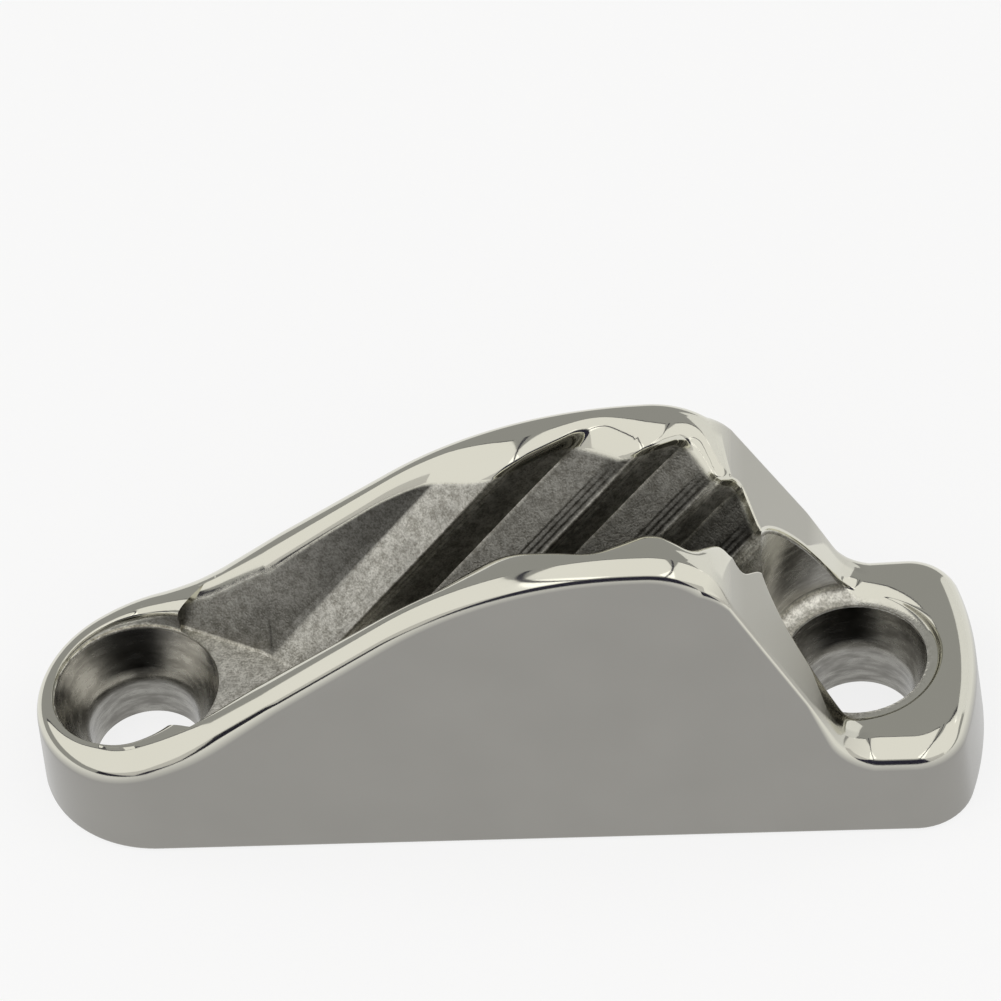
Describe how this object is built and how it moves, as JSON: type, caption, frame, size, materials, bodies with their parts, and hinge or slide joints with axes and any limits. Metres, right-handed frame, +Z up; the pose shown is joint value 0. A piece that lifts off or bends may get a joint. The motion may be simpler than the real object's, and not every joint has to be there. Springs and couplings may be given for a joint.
{
  "type": "jam cleat",
  "caption": "Cast stainless jam cleat with an arched body, a tapered rope groove lined with slanted teeth, and a countersunk screw hole at each end.",
  "frame": {"origin": "on the flat base, half way between the axes of the two screw holes", "axes": "+X along the cleat from its round low end to its square end, +Y across it, +Z up from the base"},
  "size_m": [0.082, 0.0242, 0.0314],
  "materials": {
    "polished_steel": "mirror polished outside, as cast in the groove"
  },
  "bodies": {
    "root": {"cleat_body": "polished_steel"}
  },
  "joints": []
}
